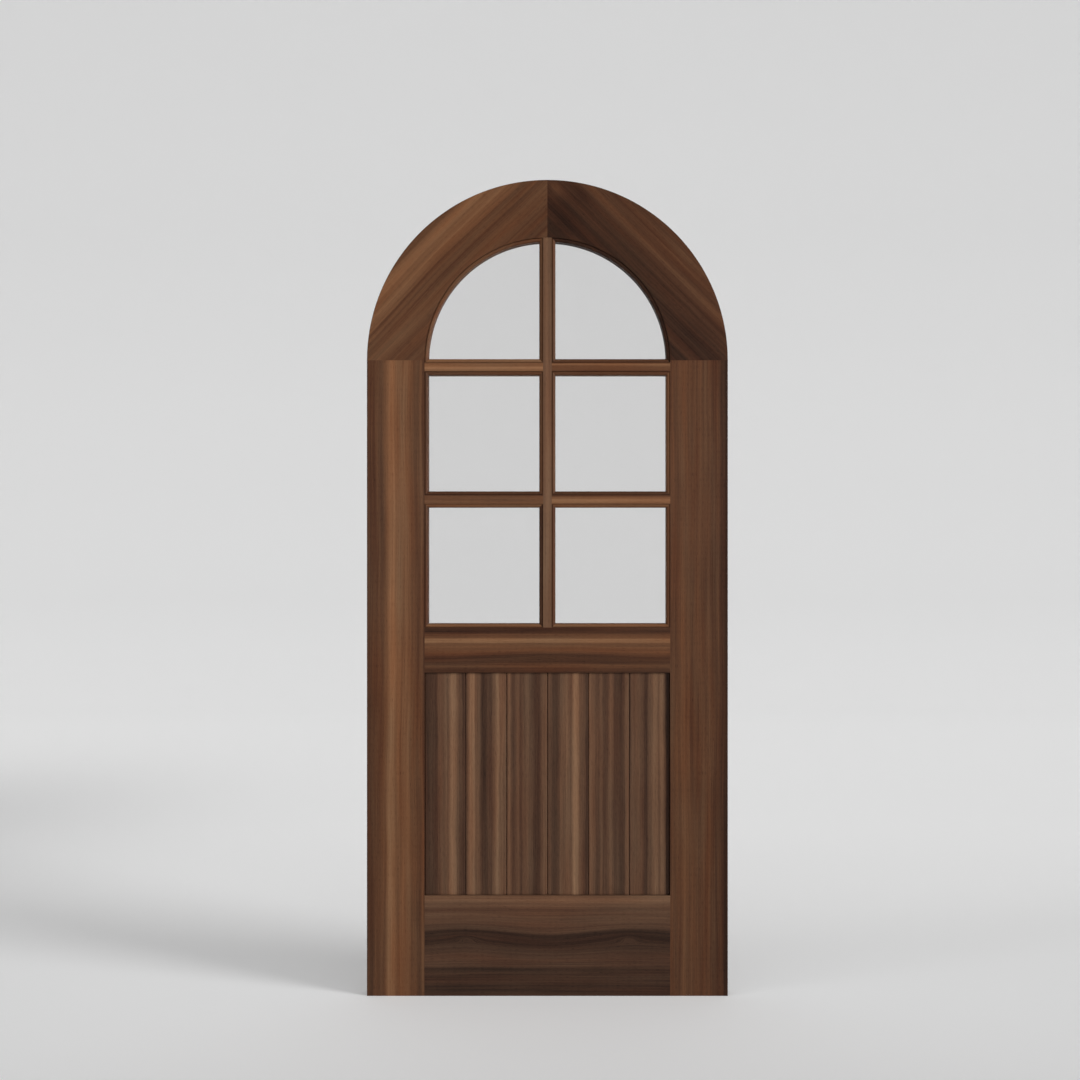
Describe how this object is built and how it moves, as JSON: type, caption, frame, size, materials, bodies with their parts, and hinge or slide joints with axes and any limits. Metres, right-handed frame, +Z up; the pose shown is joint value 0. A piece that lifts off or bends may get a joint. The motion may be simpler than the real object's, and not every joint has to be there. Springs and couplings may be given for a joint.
{
  "type": "round top door leaf",
  "caption": "Walnut door leaf with a half-round head, divided glass panes over a lock rail, and a recessed tongue-and-groove panel below.",
  "frame": {"origin": "middle of the leaf's bottom edge, halfway through its thickness", "axes": "+X across the leaf to the right as seen from the beaded front, +Y from the front face to the back face, +Z up"},
  "size_m": [0.9144, 0.0444, 2.0675],
  "materials": {
    "walnut_frame": "satin oil",
    "walnut_bead": "satin oil",
    "walnut_panel": "satin oil",
    "pane_glass": "clear",
    "block_rubber": "matte",
    "tenon_beech": "bare",
    "brad_steel": "bright"
  },
  "bodies": {
    "root": {"arch_tenons": "tenon_beech", "bead_brads": "brad_steel", "bottom_rail": "walnut_frame", "bottom_rail_tenons": "tenon_beech", "crown_tenon": "tenon_beech", "left_arch_rail": "walnut_frame", "left_stile": "walnut_frame", "lock_rail": "walnut_frame", "lock_rail_tenons": "tenon_beech", "lower_left_bead_bottom": "walnut_bead", "lower_left_bead_inner": "walnut_bead", "lower_left_bead_outer": "walnut_bead", "lower_left_bead_top": "walnut_bead", "lower_left_muntin": "walnut_frame", "lower_left_pane": "pane_glass", "lower_right_bead_bottom": "walnut_bead", "lower_right_bead_inner": "walnut_bead", "lower_right_bead_outer": "walnut_bead", "lower_right_bead_top": "walnut_bead", "lower_right_muntin": "walnut_frame", "lower_right_pane": "pane_glass", "middle_left_bead_bottom": "walnut_bead", "middle_left_bead_inner": "walnut_bead", "middle_left_bead_outer": "walnut_bead", "middle_left_bead_top": "walnut_bead", "middle_left_pane": "pane_glass", "middle_right_bead_bottom": "walnut_bead", "middle_right_bead_inner": "walnut_bead", "middle_right_bead_outer": "walnut_bead", "middle_right_bead_top": "walnut_bead", "middle_right_pane": "pane_glass", "panel_board_1": "walnut_panel", "panel_board_2": "walnut_panel", "panel_board_3": "walnut_panel", "panel_board_4": "walnut_panel", "panel_board_5": "walnut_panel", "panel_board_6": "walnut_panel", "right_arch_rail": "walnut_frame", "right_stile": "walnut_frame", "setting_blocks": "block_rubber", "upper_left_bead_arch": "walnut_bead", "upper_left_bead_bottom": "walnut_bead", "upper_left_bead_inner": "walnut_bead", "upper_left_muntin": "walnut_frame", "upper_left_pane": "pane_glass", "upper_right_bead_arch": "walnut_bead", "upper_right_bead_bottom": "walnut_bead", "upper_right_bead_inner": "walnut_bead", "upper_right_muntin": "walnut_frame", "upper_right_pane": "pane_glass", "vertical_muntin": "walnut_frame"}
  },
  "joints": []
}
